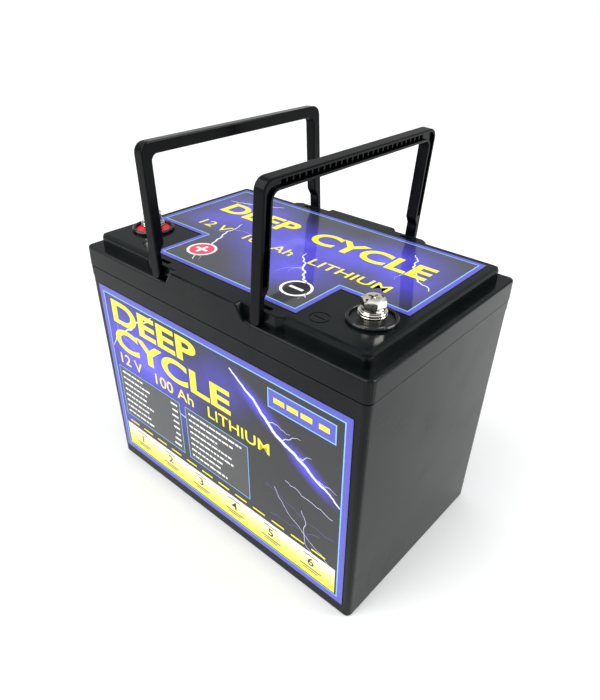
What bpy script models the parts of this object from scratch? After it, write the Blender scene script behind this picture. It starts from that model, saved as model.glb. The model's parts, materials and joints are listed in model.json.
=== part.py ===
"""Deep cycle battery, standard group 24 case, with two folding bail handles.

Metres, +Z up. The origin is the centre of the base. +X runs along the length towards the negative
terminal, and -Y is the label side. The handles stand almost upright, leaning a little outwards.
"""

import math

import bmesh
import bpy
from mathutils import Matrix, Vector

MM = 0.001
GAP = 0.3 * MM                      # clearance between pieces that touch

# ---- Envelope ------------------------------------------------------------------------------------
LENGTH = 260 * MM                   # over the lid, along X
WIDTH = 168.6 * MM                  # over the lid, along Y
PLATEAU_Z = 208.8 * MM              # raised middle of the lid
SHOULDER_Z = 199.5 * MM             # ledge around it, on which the folded handles lie
LID_Z = 184.2 * MM                  # lower edge of the lid
HALF_X, HALF_Y = LENGTH / 2, WIDTH / 2

# ---- Case ----------------------------------------------------------------------------------------
CASE_Z = 183.6 * MM                 # rim of the case
CASE_TOP = (129.6 * MM, 84.0 * MM)      # half sizes at the rim; the walls taper for the mould
CASE_FOOT = (126.5 * MM, 79.3 * MM)
CASE_WALL = 3.0 * MM
CASE_CORNER = 3.9 * MM
RIM_BAND = 7.5 * MM                 # slightly thicker band below the rim
RIM_STEP = 0.3 * MM

# ---- Lid -----------------------------------------------------------------------------------------
LID_CORNER = 4.9 * MM
LID_EDGE = 1.6 * MM                 # rounding of the shoulder's outer edge
LID_WALL = 3.0 * MM
LID_SKIRT = 3.5 * MM
PLATEAU = (121.7 * MM, 76.2 * MM)   # half sizes
PLATEAU_EDGE = 2.7 * MM
PLATEAU_CORNER = 4.6 * MM
PLATEAU_ROOF = 3.3 * MM
EAR_Y = 79.5 * MM                   # pivot ears beside the plateau
EAR_X = 58.4 * MM                   # where their outer ends start to slant back
EAR_END = 62.9 * MM
FASCIA_TOP_X = 30.3 * MM            # raised side panel between the two handles
FASCIA_TOE_X = 36.6 * MM
FASCIA_EDGE = 0.9 * MM
TONGUE = 2.0 * MM                   # rib that locates the lid inside the case
TONGUE_Z = 178.4 * MM
SEAL_WIDTH, SEAL_HEIGHT = 1.3 * MM, 1.1 * MM

# ---- Handles -------------------------------------------------------------------------------------
PIVOT_X = 46.2 * MM
PIVOT_Z = 204.3 * MM
HANDLE_LEAN = {"left": math.radians(3.8), "right": math.radians(3.7)}   # outwards, from upright
HANDLE_THICK = 8.2 * MM
HANDLE_REACH = 83.8 * MM            # pivot to the outer edge of the bar
HANDLE_HALF_Y = 84.0 * MM
LEG_INNER_Y = 76.6 * MM
LEG_NECK_Y = 79.8 * MM              # the leg is slimmer beside the pivot ear
NECK_END, NECK_SHOULDER = 13.8 * MM, 19.2 * MM
BAR_INNER = 75.8 * MM
HANDLE_CORNER, HANDLE_INNER_CORNER = 7.0 * MM, 4.5 * MM
HANDLE_EDGE = 0.8 * MM
CHANNEL_RIM = 1.9 * MM              # wall left around the hollow side
CHANNEL_DEPTH, POCKET_DEPTH = 1.8 * MM, 5.0 * MM
RIB_PITCH, RIB_THICK = 5.2 * MM, 1.1 * MM
PIN_R, PIN_TIP_Y = 2.6 * MM, 72.9 * MM
BORE_R, BORE_END_Y = 2.9 * MM, 72.5 * MM
SLOT_X, SLOT_Y = 46.8 * MM, 74.5 * MM
SLOT_LENGTH, SLOT_WIDTH, SLOT_FLOOR = 10.4 * MM, 3.4 * MM, 203.3 * MM

# ---- Terminals -----------------------------------------------------------------------------------
TERMINAL_X, TERMINAL_Y = 100.2 * MM, -43.4 * MM
COLLAR_R, COLLAR_BODY_R, RIM_BORE_R = 15.5 * MM, 14.2 * MM, 13.3 * MM
COLLAR_TOP = 211.1 * MM
COLLAR_FLOOR = (204.2 * MM, 207.1 * MM)
DISC_R, DISC_TOP = 13.0 * MM, 209.0 * MM
HUB_R, HUB_TOP = 6.3 * MM, 211.6 * MM
INSERT_FLANGE_R, INSERT_FLANGE_Z = 10.0 * MM, (200.5 * MM, 203.9 * MM)
INSERT_END = 188.8 * MM
INSERT_BORE_R, INSERT_BORE_END = 4.2 * MM, 193.3 * MM
WASHER_R, WASHER_BORE_R, WASHER_THICK = 8.5 * MM, 4.3 * MM, 1.4 * MM
SPRING_R, SPRING_THICK, SPRING_SPLIT = 7.1 * MM, 2.0 * MM, 1.5 * MM
BOLT_FLATS, BOLT_HEAD, BOLT_R, BOLT_END = 13.0 * MM, 5.3 * MM, 3.9 * MM, 199.3 * MM
BOLT_TURN = math.radians(22)  # keeps the flats' corners off the dome's facet edges
RECESS_SPAN, RECESS_WIDTH, RECESS_DEPTH = 7.0 * MM, 1.6 * MM, 2.4 * MM

# ---- Polarity marks moulded in the lid, beside the terminals ------------------------------------
MARK_X, MARK_Y, MARK_R = 77.4 * MM, -62.6 * MM, 6.4 * MM
MARK_LINE, MARK_DEPTH = 0.9 * MM, 0.4 * MM

# ---- Labels --------------------------------------------------------------------------------------
LABEL_THICK, LABEL_LIFT = 0.25 * MM, 0.1 * MM
TOP_LABEL = (114.4 * MM, 68.7 * MM)         # half sizes
NOTCH_X, NOTCH_Y = 64.6 * MM, -26.4 * MM    # front corners cut away around the terminals
FRONT_LABEL = (120.9 * MM, 10.0 * MM, 171.1 * MM)    # half width, lower and upper edge

# ---- Cell pack -----------------------------------------------------------------------------------
CELL = (49.0 * MM, 148.0 * MM, 128.0 * MM)
PAD_THICK = 3.0 * MM
CELL_Z = CASE_WALL + PAD_THICK + 2 * GAP
CELL_TOP = CELL_Z + CELL[2]
SPACER = 1.0 * MM
PITCH = CELL[0] + SPACER + 2 * GAP
POLE_Y, POLE_SIZE, POLE_HEIGHT = 50.0 * MM, 22.0 * MM, 3.0 * MM
END_PLATE, END_PLATE_TOP = 6.0 * MM, 149.7 * MM
PACK_END = 1.5 * PITCH + CELL[0] / 2
STRAP_Z, STRAP_WIDTH, STRAP_THICK = (40 * MM, 100 * MM), 16 * MM, 0.8 * MM
BUSBAR = (72 * MM, 20 * MM, 2.0 * MM)
TRAY_Z, TRAY_THICK = 150.0 * MM, 1.5 * MM
TRAY_FRONT = -8.0 * MM              # the tray stops here where the heavy cables rise
BOARD_Y = 32.0 * MM
CABLE_R = 4.2 * MM

SEGMENTS = 36                       # around round pieces


# ---- Materials -----------------------------------------------------------------------------------
def material(name, colour, roughness, metallic=0.0):
    """A Principled material with the given look."""
    mat = bpy.data.materials.new(name)
    mat.use_nodes = True
    shader = mat.node_tree.nodes["Principled BSDF"]
    shader.inputs["Base Color"].default_value = (*colour, 1.0)
    shader.inputs["Roughness"].default_value = roughness
    shader.inputs["Metallic"].default_value = metallic
    mat.diffuse_color = (*colour, 1.0)
    return mat


# ---- Outlines ------------------------------------------------------------------------------------
def rounded(points, radius, steps=4):
    """Round every corner of a closed outline; radius is one value or one for each corner."""
    count = len(points)
    radii = radius if isinstance(radius, (list, tuple)) else [radius] * count
    outline = []
    for i, corner in enumerate(points):
        corner = Vector(corner)
        before = (Vector(points[i - 1]) - corner).normalized()
        after = (Vector(points[(i + 1) % count]) - corner).normalized()
        if radii[i] <= 0:
            outline.append(corner)
            continue
        half = before.angle(after) / 2
        reach = radii[i] / math.tan(half)
        centre = corner + (before + after).normalized() * radii[i] / math.sin(half)
        start = corner + before * reach - centre
        turn = math.pi - 2 * half
        if before.x * after.y - before.y * after.x > 0:
            turn = -turn
        for k in range(steps + 1):
            outline.append(centre + Matrix.Rotation(turn * k / steps, 2) @ start)
    return [(p.x, p.y) for p in outline]


def rectangle(half_x, half_y, radius=0.0, steps=4):
    """Rectangle about the origin, counter-clockwise, with rounded corners."""
    corners = [(half_x, -half_y), (half_x, half_y), (-half_x, half_y), (-half_x, -half_y)]
    return rounded(corners, radius, steps)


def circle(radius, segments=SEGMENTS, phase=0.0):
    """Regular outline about the origin, counter-clockwise."""
    turns = [phase + 2 * math.pi * k / segments for k in range(segments)]
    return [(radius * math.cos(a), radius * math.sin(a)) for a in turns]


# ---- Mesh building -------------------------------------------------------------------------------
def finish(bm, name, mat, location=(0, 0, 0), smooth=None):
    """Turn a bmesh into a named object; smooth is the sharp angle of a round piece in degrees."""
    bmesh.ops.recalc_face_normals(bm, faces=bm.faces)
    mesh = bpy.data.meshes.new(name)
    bm.to_mesh(mesh)
    bm.free()
    if mat:
        mesh.materials.append(mat)
    if smooth is not None:
        mesh.shade_smooth()
        mesh.set_sharp_from_angle(angle=math.radians(smooth))
    obj = bpy.data.objects.new(name, mesh)
    obj.location = location
    bpy.context.scene.collection.objects.link(obj)
    return obj


def loft(rings, name, mat=None, closed=False, **kwargs):
    """Skin a stack of equal rings of points; the ends are capped unless the stack is closed."""
    bm = bmesh.new()
    loops = [[bm.verts.new(p) for p in ring] for ring in rings]
    count = len(loops[0])
    pairs = list(zip(loops, loops[1:]))
    if closed:
        pairs.append((loops[-1], loops[0]))
    else:
        bm.faces.new(reversed(loops[0]))
        bm.faces.new(loops[-1])
    for low, high in pairs:
        for i in range(count):
            j = (i + 1) % count
            bm.faces.new((low[i], low[j], high[j], high[i]))
    return finish(bm, name, mat, **kwargs)


def prism(outline, z0, z1, name, mat=None, edge=0.0, **kwargs):
    """Upright prism; edge chamfers the rim of its top face."""
    rings = [[(x, y, z0) for x, y in outline], [(x, y, z1) for x, y in outline]]
    obj = loft(rings, name, mat, **kwargs)
    if edge:
        round_edges(obj, edge, lambda a, b: a.z > z1 - 1e-6 and b.z > z1 - 1e-6)
    return obj


def block(size, centre, name, mat=None, **kwargs):
    """Box given by its full size and its centre."""
    bm = bmesh.new()
    bmesh.ops.create_cube(bm, size=1.0)
    bmesh.ops.scale(bm, vec=size, verts=bm.verts)
    return finish(bm, name, mat, location=centre, **kwargs)


def turned(profile, name, mat=None, segments=SEGMENTS, smooth=35, **kwargs):
    """Turn a closed (radius, z) profile around Z; its points may lie on the axis at both ends."""
    bm = bmesh.new()
    wires = []
    for radius, z in profile:
        if radius < 1e-7:
            wires.append([bm.verts.new((0, 0, z))])
        else:
            wires.append([bm.verts.new((x, y, z)) for x, y in circle(radius, segments)])
    solid = len(wires[0]) == 1 and len(wires[-1]) == 1
    pairs = list(zip(wires, wires[1:])) + ([] if solid else [(wires[-1], wires[0])])
    for low, high in pairs:
        for i in range(segments):
            j = (i + 1) % segments
            corners = [low[i % len(low)], low[j % len(low)], high[j % len(high)], high[i % len(high)]]
            bm.faces.new(list(dict.fromkeys(corners)))
    return finish(bm, name, mat, smooth=smooth, **kwargs)


def round_edges(obj, width, chosen, segments=2):
    """Bevel the edges whose end points pass the test, in the object's own mesh."""
    bm = bmesh.new()
    bm.from_mesh(obj.data)
    edges = [e for e in bm.edges if chosen(e.verts[0].co, e.verts[1].co)]
    bmesh.ops.bevel(bm, geom=edges, offset=width, segments=segments, profile=0.5, affect="EDGES")
    bm.to_mesh(obj.data)
    bm.free()


def combine(target, tools, operation="DIFFERENCE"):
    """Keep a Boolean for each tool on the target, and hide the tools."""
    for tool in tools:
        modifier = target.modifiers.new(tool.name, "BOOLEAN")
        modifier.operation = operation
        modifier.solver = "EXACT"
        modifier.object = tool
        tool.hide_render = True
        tool.display_type = "WIRE"
    return target


# ---- Case and lid --------------------------------------------------------------------------------
def case_half(z):
    """Half sizes of the tapered outside of the case at a height."""
    t = z / CASE_Z
    return [foot + (top - RIM_STEP - foot) * t for foot, top in zip(CASE_FOOT, CASE_TOP)]


def rect_ring(half, z, radius, grow=0.0):
    """One ring of a rectangular loft."""
    outline = rectangle(half[0] + grow, half[1] + grow, radius + grow)
    return [(x, y, z) for x, y in outline]


def make_case(plastic):
    """Open container with tapered walls and a slightly thicker rim."""
    band = CASE_Z - RIM_BAND
    rings = [
        rect_ring(case_half(0), 0, CASE_CORNER, -1.2 * MM),
        rect_ring(case_half(0), 0.4 * MM, CASE_CORNER, -0.4 * MM),
        rect_ring(case_half(0), 1.2 * MM, CASE_CORNER),
        rect_ring(case_half(band), band, CASE_CORNER),
        rect_ring(case_half(band), band + 0.4 * MM, CASE_CORNER, RIM_STEP),
        rect_ring(case_half(CASE_Z), CASE_Z, CASE_CORNER, RIM_STEP),
    ]
    case = loft(rings, "case", plastic, smooth=30)
    inside = [
        rect_ring(case_half(0), CASE_WALL, CASE_CORNER, -CASE_WALL),
        rect_ring(case_half(CASE_Z), CASE_Z + 1 * MM, CASE_CORNER, -CASE_WALL),
    ]
    return combine(case, [loft(inside, "case_inside")])


def fascia_block():
    """Block across the lid whose ends rise in an S from the shoulder to the plateau."""
    top, toe = FASCIA_TOP_X, FASCIA_TOE_X
    low = SHOULDER_Z - 0.5 * MM
    foot = toe + 6 * MM
    corners = [(-top, PLATEAU_Z), (-toe, low), (-foot, low), (-foot, low - 6 * MM),
               (foot, low - 6 * MM), (foot, low), (toe, low), (top, PLATEAU_Z)]
    outline = rounded(corners, [2.2 * MM, 3 * MM, 0, 0, 0, 0, 3 * MM, 2.2 * MM], 3)
    half = HALF_Y + 0.05 * MM
    rings = [[(x, y, z) for x, z in outline] for y in (-half, half)]
    obj = loft(rings, "lid_fascia")
    above = SHOULDER_Z - 0.3 * MM
    round_edges(obj, FASCIA_EDGE, lambda a, b: min(a.z, b.z) > above and a.y * b.y > 0)
    return obj


def make_lid(plastic):
    """Lid with shoulder, plateau, pivot ears, raised side panels and terminal holes."""
    half = (HALF_X, HALF_Y)
    rings = [rect_ring(half, LID_Z, LID_CORNER, -0.3 * MM), rect_ring(half, LID_Z + 0.3 * MM, LID_CORNER)]
    for k in range(4):
        turn = math.radians(30 * k)
        drop = LID_EDGE * (1 - math.sin(turn))
        rings.append(rect_ring(half, SHOULDER_Z - drop, LID_CORNER, -LID_EDGE * (1 - math.cos(turn))))
    lid = loft(rings, "lid", plastic, smooth=30)

    low = SHOULDER_Z - 6 * MM
    plateau = prism(rectangle(*PLATEAU, PLATEAU_CORNER), low, PLATEAU_Z, "lid_plateau", edge=PLATEAU_EDGE)
    corners = [(EAR_END, PLATEAU[1]), (EAR_X, EAR_Y), (-EAR_X, EAR_Y), (-EAR_END, PLATEAU[1]),
               (-EAR_END, -PLATEAU[1]), (-EAR_X, -EAR_Y), (EAR_X, -EAR_Y), (EAR_END, -PLATEAU[1])]
    ears = prism(rounded(corners, [0, 2 * MM, 2 * MM, 0, 0, 2 * MM, 2 * MM, 0], 3),
                 low, PLATEAU_Z, "lid_ears", edge=0.7 * MM)
    combine(lid, [plateau, ears, fascia_block()], "UNION")

    skirt = [h - LID_SKIRT for h in half]
    roof = SHOULDER_Z - LID_WALL
    cuts = [
        prism(rectangle(*skirt, 2 * MM), LID_Z - 1 * MM, roof, "lid_hollow"),
        prism(rectangle(*[h - LID_WALL for h in PLATEAU], 2 * MM), roof - 2 * MM,
              PLATEAU_Z - PLATEAU_ROOF, "lid_plateau_hollow"),
        prism(rectangle(FASCIA_TOP_X - 3.4 * MM, HALF_Y - LID_SKIRT), roof - 2 * MM,
              PLATEAU_Z - PLATEAU_ROOF, "lid_fascia_hollow"),
    ]
    groove = [h - LID_SKIRT / 2 for h in half]
    cuts.append(ring_prism(groove, SEAL_WIDTH + 0.5 * MM, LID_Z - 1 * MM,
                           LID_Z + SEAL_HEIGHT, "lid_seal_groove"))
    for i, (end, side) in enumerate(((-1, -1), (-1, 1), (1, -1), (1, 1))):
        bore = turned([(0, BORE_END_Y), (BORE_R, BORE_END_Y), (BORE_R, EAR_Y + 2 * MM),
                       (0, EAR_Y + 2 * MM)], f"lid_bore_{i}", segments=20,
                      location=(end * PIVOT_X, 0, PIVOT_Z))
        bore.rotation_euler = (-side * math.pi / 2, 0, 0)
        slot = rectangle(SLOT_LENGTH / 2, SLOT_WIDTH / 2, 0.499 * SLOT_WIDTH)
        slot = prism(slot, SLOT_FLOOR, PLATEAU_Z + 1 * MM, f"lid_slot_{i}",
                     location=(end * SLOT_X, side * SLOT_Y, 0))
        cuts += [bore, slot]
    for side in (-1, 1):
        hole = circle(COLLAR_BODY_R + GAP)
        cuts.append(prism(hole, roof, PLATEAU_Z + 1 * MM, f"lid_terminal_hole_{side}",
                          location=(side * TERMINAL_X, TERMINAL_Y, 0)))
        cuts += polarity_mark(side)
    combine(lid, cuts)

    tongue = [s - 1.1 * MM - TONGUE / 2 for s in skirt]
    return combine(lid, [ring_prism(tongue, TONGUE, TONGUE_Z, roof + 0.8 * MM, "lid_tongue")], "UNION")


def ring_prism(half, width, z0, z1, name, mat=None):
    """Rectangular frame with the given centre line, width and height."""
    rings = []
    for grow, z in ((-width / 2, z0), (width / 2, z0), (width / 2, z1), (-width / 2, z1)):
        rings.append(rect_ring(half, z, 3 * MM, grow))
    return loft(rings, name, mat, closed=True)


def polarity_mark(side):
    """Cutters for a shallow circle with a bar in it, and a second bar on the positive side."""
    place = (side * MARK_X, MARK_Y, 0)
    low, high = PLATEAU_Z - MARK_DEPTH, PLATEAU_Z + 1 * MM
    inner, outer = MARK_R - MARK_LINE, MARK_R
    tools = [turned([(inner, low), (outer, low), (outer, high), (inner, high)],
                    f"lid_mark_ring_{side}", segments=28, location=place)]
    arm, half = MARK_R * 0.62, MARK_LINE / 2
    if side > 0:
        bar = [(arm, -half), (arm, half), (-arm, half), (-arm, -half)]
    else:
        bar = [(arm, -half), (arm, half), (half, half), (half, arm), (-half, arm), (-half, half),
               (-arm, half), (-arm, -half), (-half, -half), (-half, -arm), (half, -arm), (half, -half)]
    tools.append(prism(bar, low, high, f"lid_mark_bar_{side}", location=place))
    return tools


def make_seal(rubber):
    """Bead between the case rim and the lid."""
    half = [h - LID_SKIRT / 2 for h in (HALF_X, HALF_Y)]
    low = CASE_Z + GAP
    return ring_prism(half, SEAL_WIDTH, low, low + SEAL_HEIGHT, "lid_seal", rubber)


# ---- Handles -------------------------------------------------------------------------------------
def handle_outline():
    """U outline in (y, z) about the pivot, starting at the foot of the +Y leg."""
    right = [(HANDLE_HALF_Y, -6 * MM), (HANDLE_HALF_Y, HANDLE_REACH)]
    left = [(-y, z) for y, z in reversed(right)]
    inner = [(LEG_NECK_Y, -6 * MM), (LEG_NECK_Y, NECK_END), (LEG_INNER_Y, NECK_SHOULDER),
             (LEG_INNER_Y, BAR_INNER)]
    corners = right + left + [(-y, z) for y, z in inner] + inner[::-1]
    outer, joint, corner = HANDLE_CORNER, 1.2 * MM, HANDLE_INNER_CORNER
    radii = [0, outer, outer, 0, 0, joint, joint, corner, corner, joint, joint, 0]
    return rounded(corners, radii, 5)


def channel_outline():
    """Hollow of the handle's under side: along the bar and down both legs."""
    outer_y, inner_y = HANDLE_HALF_Y - CHANNEL_RIM, LEG_INNER_Y + CHANNEL_RIM
    top, under, foot = HANDLE_REACH - CHANNEL_RIM, BAR_INNER + CHANNEL_RIM, NECK_SHOULDER + 2 * MM
    right = [(outer_y, foot), (outer_y, top)]
    inner = [(inner_y, foot), (inner_y, under)]
    corners = right + [(-y, z) for y, z in reversed(right)] + [(-y, z) for y, z in inner] + inner[::-1]
    outer, corner = HANDLE_CORNER - CHANNEL_RIM, HANDLE_INNER_CORNER + CHANNEL_RIM
    return rounded(corners, [0, outer, outer, 0, 0, corner, corner, 0], 4)


def handle_mesh(plastic):
    """Bail handle about its pivot, hollow side towards +X."""
    half = HANDLE_THICK / 2
    outline = handle_outline()
    body = loft([[(x, y, z) for y, z in outline] for x in (-half, half)], "right_handle", plastic,
                smooth=30)
    round_edges(body, HANDLE_EDGE, lambda a, b: a.x * b.x > 0 and max(a.z, b.z) > -5 * MM)

    # The foot of each leg is a half round about the pivot axis.
    foot_r = half - 0.01 * MM
    arc = [(foot_r * math.cos(a), foot_r * math.sin(a))
           for a in (math.pi + math.pi * k / 10 for k in range(11))]
    foot = [(-2 * half, 0)] + arc + [(2 * half, 0), (2 * half, -8 * MM), (-2 * half, -8 * MM)]
    reach = HANDLE_HALF_Y + 5 * MM
    feet = loft([[(x, y, z) for x, z in foot] for y in (-reach, reach)], "handle_feet")

    floor = half - CHANNEL_DEPTH
    channel = channel_outline()
    channel = loft([[(x, y, z) for y, z in channel] for x in (floor, half + 1 * MM)], "handle_channel")

    bm = bmesh.new()
    low, high = BAR_INNER + CHANNEL_RIM, HANDLE_REACH - CHANNEL_RIM
    count = int(2 * (LEG_INNER_Y - 5 * MM) / RIB_PITCH)
    for i in range(count):
        y = (i - (count - 1) / 2) * RIB_PITCH
        add_box(bm, (half - POCKET_DEPTH, y - (RIB_PITCH - RIB_THICK) / 2, low + 0.05 * MM),
                (half - 0.5 * MM, y + (RIB_PITCH - RIB_THICK) / 2, high - 0.05 * MM))
    leg = HANDLE_HALF_Y - CHANNEL_RIM - 0.05 * MM, LEG_INNER_Y + CHANNEL_RIM + 0.05 * MM
    for side in (-1, 1):
        for start, end in ((NECK_SHOULDER + 2.1 * MM, 42 * MM), (43.2 * MM, 67 * MM)):
            ends = sorted((side * leg[0], side * leg[1]))
            add_box(bm, (half - POCKET_DEPTH, ends[0], start), (half - 0.5 * MM, ends[1], end))
    pockets = finish(bm, "handle_pockets", None)
    combine(body, [feet, channel, pockets])

    pins = []
    for side in (-1, 1):
        pin = turned([(0, PIN_TIP_Y), (PIN_R - 0.5 * MM, PIN_TIP_Y), (PIN_R, PIN_TIP_Y + 0.5 * MM),
                      (PIN_R, LEG_NECK_Y + 1.5 * MM), (0, LEG_NECK_Y + 1.5 * MM)],
                     f"handle_pin_{side}", segments=20)
        pin.rotation_euler = (-side * math.pi / 2, 0, 0)
        pins.append(pin)
    return combine(body, pins, "UNION"), [feet, channel, pockets, *pins]


def add_box(bm, low, high):
    """Add an axis-aligned box between two corners."""
    size = Vector(high) - Vector(low)
    centre = (Vector(high) + Vector(low)) / 2
    matrix = Matrix.Translation(centre) @ Matrix.Diagonal((*size, 1.0))
    bmesh.ops.create_cube(bm, size=1.0, matrix=matrix)


def make_handles(plastic):
    """Two identical bails, each on an empty at its pivot so that it turns about it."""
    for side, sign in (("right", 1), ("left", -1)):
        pivot = bpy.data.objects.new(f"{side}_pivot", None)
        bpy.context.scene.collection.objects.link(pivot)
        body, tools = handle_mesh(plastic)
        body.name = f"{side}_handle"
        for piece in (body, *tools):
            piece.parent = pivot
        pivot.location = (sign * PIVOT_X, 0, PIVOT_Z)
        facing = 0 if sign > 0 else math.pi
        lean = Matrix.Rotation(sign * HANDLE_LEAN[side], 4, "Y")
        pivot.rotation_euler = (lean @ Matrix.Rotation(facing, 4, "Z")).to_euler()


# ---- Terminals -----------------------------------------------------------------------------------
def make_collar(name, side, plastic):
    """Flanged collar in the lid that carries the disc and the metal insert."""
    floor, ceiling = COLLAR_FLOOR
    seat = PLATEAU_Z + GAP
    profile = [(HUB_R + GAP, floor), (COLLAR_BODY_R, floor), (COLLAR_BODY_R, seat), (COLLAR_R, seat),
               (COLLAR_R, COLLAR_TOP - 0.7 * MM), (COLLAR_R - 0.7 * MM, COLLAR_TOP),
               (RIM_BORE_R + 0.3 * MM, COLLAR_TOP), (RIM_BORE_R, COLLAR_TOP - 0.3 * MM),
               (RIM_BORE_R, ceiling), (HUB_R + GAP, ceiling)]
    return turned(profile, name, plastic, location=(side * TERMINAL_X, TERMINAL_Y, 0))


def make_disc(name, side, mat):
    """Coloured plate inside the collar, around the metal hub."""
    low = COLLAR_FLOOR[1] + GAP
    profile = [(HUB_R + GAP, low), (DISC_R, low), (DISC_R, DISC_TOP), (HUB_R + GAP, DISC_TOP)]
    return turned(profile, name, mat, location=(side * TERMINAL_X, TERMINAL_Y, 0))


def make_insert(name, side, metal):
    """Female threaded post with a flange under the collar; the thread is a plain bore."""
    low, high = INSERT_FLANGE_Z
    profile = [(0, INSERT_END), (HUB_R - 0.6 * MM, INSERT_END), (HUB_R, INSERT_END + 0.6 * MM),
               (HUB_R, low), (INSERT_FLANGE_R, low), (INSERT_FLANGE_R, high), (HUB_R, high),
               (HUB_R, HUB_TOP - 0.4 * MM), (HUB_R - 0.4 * MM, HUB_TOP),
               (INSERT_BORE_R + 0.5 * MM, HUB_TOP), (INSERT_BORE_R, HUB_TOP - 0.5 * MM),
               (INSERT_BORE_R, INSERT_BORE_END), (0, INSERT_BORE_END)]
    return turned(profile, name, metal, location=(side * TERMINAL_X, TERMINAL_Y, 0))


def make_washer(name, side, metal, z):
    """Plain washer with its under side at z."""
    top, edge = z + WASHER_THICK, 0.25 * MM
    profile = [(WASHER_BORE_R, z), (WASHER_R - edge, z), (WASHER_R, z + edge), (WASHER_R, top - edge),
               (WASHER_R - edge, top), (WASHER_BORE_R, top)]
    return turned(profile, name, metal, location=(side * TERMINAL_X, TERMINAL_Y, 0))


def make_spring_washer(name, side, metal, z):
    """Split washer, open by a narrow slit."""
    slit = SPRING_SPLIT / SPRING_R
    start, end = math.radians(200), math.radians(560) - slit
    section = [(WASHER_BORE_R, z), (SPRING_R, z), (SPRING_R, z + SPRING_THICK),
               (WASHER_BORE_R, z + SPRING_THICK)]
    rings = []
    for k in range(SEGMENTS):
        a = start + (end - start) * k / (SEGMENTS - 1)
        rings.append([(r * math.cos(a), r * math.sin(a), h) for r, h in section])
    return loft(rings, name, metal, smooth=35, location=(side * TERMINAL_X, TERMINAL_Y, 0))


def make_bolt(name, side, metal, z):
    """Hexagon bolt with a domed top and a cross recess; the shank is plain."""
    place = (side * TERMINAL_X, TERMINAL_Y, 0)
    top = z + BOLT_HEAD
    corner_r = BOLT_FLATS / 2 / math.cos(math.pi / 6)
    bolt = prism(circle(corner_r, 6, BOLT_TURN), z, top, name, metal, location=place, smooth=30)
    dome = turned([(0, z - 1 * MM), (corner_r + 1 * MM, z - 1 * MM), (corner_r + 1 * MM, top - 2.0 * MM),
                   (BOLT_FLATS / 2 * 0.93, top - 0.35 * MM), (BOLT_FLATS / 2 * 0.72, top - 0.05 * MM),
                   (0, top - 0.05 * MM)], f"{name}_dome", location=place)
    combine(bolt, [dome], "INTERSECT")
    shank = turned([(0, BOLT_END), (BOLT_R - 0.8 * MM, BOLT_END), (BOLT_R, BOLT_END + 0.8 * MM),
                    (BOLT_R, z + 1 * MM), (0, z + 1 * MM)], f"{name}_shank", segments=24, location=place)
    combine(bolt, [shank], "UNION")
    arm, half = RECESS_SPAN / 2, RECESS_WIDTH / 2
    cross = [(arm, -half), (arm, half), (half, half), (half, arm), (-half, arm), (-half, half),
             (-arm, half), (-arm, -half), (-half, -half), (-half, -arm), (half, -arm), (half, -half)]
    recess = prism(cross, top - RECESS_DEPTH, top + 1 * MM, f"{name}_recess", location=place)
    return combine(bolt, [recess])


def make_nut(name, side, metal):
    """Hexagon nut that clamps the cable lug under the insert's flange."""
    high = INSERT_FLANGE_Z[0] - 3 * MM - 2 * GAP
    nut = prism(circle(10.4 * MM, 6), high - 5 * MM, high, name, metal,
                location=(side * TERMINAL_X, TERMINAL_Y, 0))
    bore = prism(circle(HUB_R + GAP, 24), high - 6 * MM, high + 1 * MM, f"{name}_bore",
                 location=(side * TERMINAL_X, TERMINAL_Y, 0))
    return combine(nut, [bore])


# ---- Labels --------------------------------------------------------------------------------------
def make_top_label(film):
    """Printed film on the plateau, notched at its front corners around the terminals."""
    half_x, half_y = TOP_LABEL
    corners = [(half_x, NOTCH_Y), (half_x, half_y), (-half_x, half_y), (-half_x, NOTCH_Y),
               (-NOTCH_X, NOTCH_Y), (-NOTCH_X, -half_y), (NOTCH_X, -half_y), (NOTCH_X, NOTCH_Y)]
    low = PLATEAU_Z + LABEL_LIFT
    return prism(rounded(corners, 1.2 * MM, 3), low, low + LABEL_THICK, "top_label", film)


def make_front_label(film):
    """Printed film on the tapered front wall."""
    half_x, low, high = FRONT_LABEL
    middle = (low + high) / 2
    slope = math.atan2(case_half(high)[1] - case_half(low)[1], high - low)
    outline = rectangle(half_x, (high - low) / 2 / math.cos(slope), 1.2 * MM, 3)
    label = prism(outline, LABEL_LIFT, LABEL_LIFT + LABEL_THICK, "front_label", film)
    label.location = (0, -case_half(middle)[1], middle)
    label.rotation_euler = (math.pi / 2 + slope, 0, 0)
    return label


# ---- Cell pack -----------------------------------------------------------------------------------
def make_cells(skin, foam, board):
    """Four prismatic cells in a row, with thin spacers between them."""
    for i in range(4):
        x = (i - 1.5) * PITCH
        cell = prism(rectangle(CELL[0] / 2, CELL[1] / 2, 2 * MM, 2), CELL_Z, CELL_TOP,
                     f"cell_{i + 1}", skin, location=(x, 0, 0))
        poles = []
        for side in (-1, 1):
            half = POLE_SIZE / 2
            poles.append(prism(rectangle(half, half, 1 * MM, 1), CELL_TOP - 2 * MM,
                               CELL_TOP + POLE_HEIGHT, f"cell_{i + 1}_pole_{side}",
                               location=(x, side * POLE_Y, 0)))
        combine(cell, poles, "UNION")
    for i in range(3):
        block((SPACER, CELL[1] - 4 * MM, CELL[2] - 4 * MM),
              ((i - 1) * PITCH, 0, CELL_Z + CELL[2] / 2), f"cell_spacer_{i + 1}", board)
    block((2 * PACK_END + 2 * END_PLATE, CELL[1], PAD_THICK),
          (0, 0, CASE_WALL + GAP + PAD_THICK / 2), "base_pad", foam)


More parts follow.
